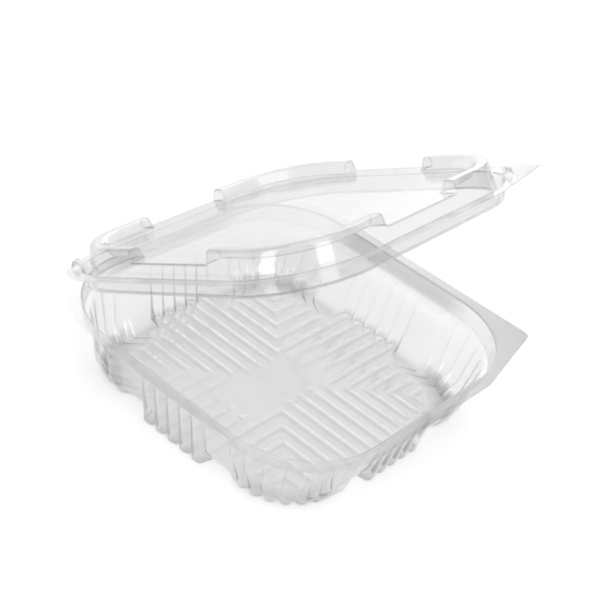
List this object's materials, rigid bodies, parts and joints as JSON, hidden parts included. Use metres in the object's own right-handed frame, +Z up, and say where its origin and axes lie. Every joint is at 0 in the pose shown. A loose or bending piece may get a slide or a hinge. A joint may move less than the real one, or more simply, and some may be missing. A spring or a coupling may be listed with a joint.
{
  "type": "hinged clear plastic food pack",
  "caption": "Clear square food pack with a fluted tray, herringbone floor ribs and a hinged lid with a plug rim and raised stacking ridges.",
  "frame": {"origin": "centre of the tray floor's underside, on the plane the pack stands on", "axes": "+Z up, +Y towards the hinge, -Y the opening side, +X along the hinge towards the lifting tab's corner"},
  "size_m": [0.18, 0.1839, 0.1355],
  "materials": {
    "clear_sheet": "clear glossy thermoformed sheet"
  },
  "bodies": {
    "tray": {"base_tray": "clear_sheet"},
    "lid": {"lid": "clear_sheet"}
  },
  "joints": [
    {"name": "lid_hinge", "type": "hinge", "parent": "tray", "child": "lid", "pos_m": [0, 0.093, 0.04115], "axis": [-1, 0, 0], "range_deg": [-30, 150], "stiffness_Nm_per_rad": 0.03, "springref_deg": 22.92}
  ]
}
